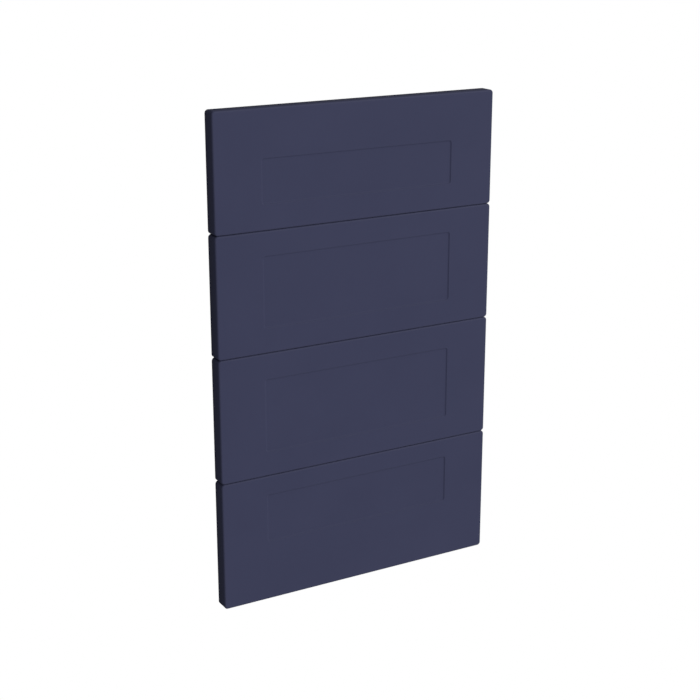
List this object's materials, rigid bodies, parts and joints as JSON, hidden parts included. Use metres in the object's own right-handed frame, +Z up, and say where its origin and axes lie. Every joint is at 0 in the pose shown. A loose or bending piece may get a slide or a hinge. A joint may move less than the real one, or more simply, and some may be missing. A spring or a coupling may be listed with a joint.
{
  "type": "vanity drawer front set",
  "caption": "Stack of navy foil-wrapped drawer fronts for a bathroom vanity unit, each with a shallow recessed panel, soft round edges and fixing holes in its white back.",
  "frame": {"origin": "middle of the set's lower edge, on the plane of the white backs", "axes": "+Z up the stack, +X across the fronts to the right as seen from their faces, +Y from the faces to the backs; the faces look along -Y"},
  "size_m": [0.446, 0.0235, 0.717],
  "materials": {
    "navy_foil": "satin-matt vinyl foil, very fine even texture",
    "mdf": "raw fibreboard, sanded faces and drilled holes",
    "white_sheet": "matt white melamine sheet with a fine pearl texture",
    "clear_buffer": "clear soft polyurethane"
  },
  "bodies": {
    "top_front": {"top_front_foil": "navy_foil", "top_front_core": "mdf", "top_front_back_sheet": "white_sheet", "top_front_left_buffers": "clear_buffer", "top_front_right_buffers": "clear_buffer"},
    "upper_middle_front": {"upper_middle_front_foil": "navy_foil", "upper_middle_front_core": "mdf", "upper_middle_front_back_sheet": "white_sheet", "upper_middle_front_left_buffers": "clear_buffer", "upper_middle_front_right_buffers": "clear_buffer"},
    "lower_middle_front": {"lower_middle_front_foil": "navy_foil", "lower_middle_front_core": "mdf", "lower_middle_front_back_sheet": "white_sheet", "lower_middle_front_left_buffers": "clear_buffer", "lower_middle_front_right_buffers": "clear_buffer"},
    "bottom_front": {"bottom_front_foil": "navy_foil", "bottom_front_core": "mdf", "bottom_front_back_sheet": "white_sheet", "bottom_front_left_buffers": "clear_buffer", "bottom_front_right_buffers": "clear_buffer"}
  },
  "joints": [
    {"name": "upper_middle_drawer_slide", "type": "slide", "parent": "top_front", "child": "upper_middle_front", "axis": [0, -1, 0], "range_m": [0, 0.45]},
    {"name": "lower_middle_drawer_slide", "type": "slide", "parent": "top_front", "child": "lower_middle_front", "axis": [0, -1, 0], "range_m": [0, 0.45]},
    {"name": "bottom_drawer_slide", "type": "slide", "parent": "top_front", "child": "bottom_front", "axis": [0, -1, 0], "range_m": [0, 0.45]}
  ]
}
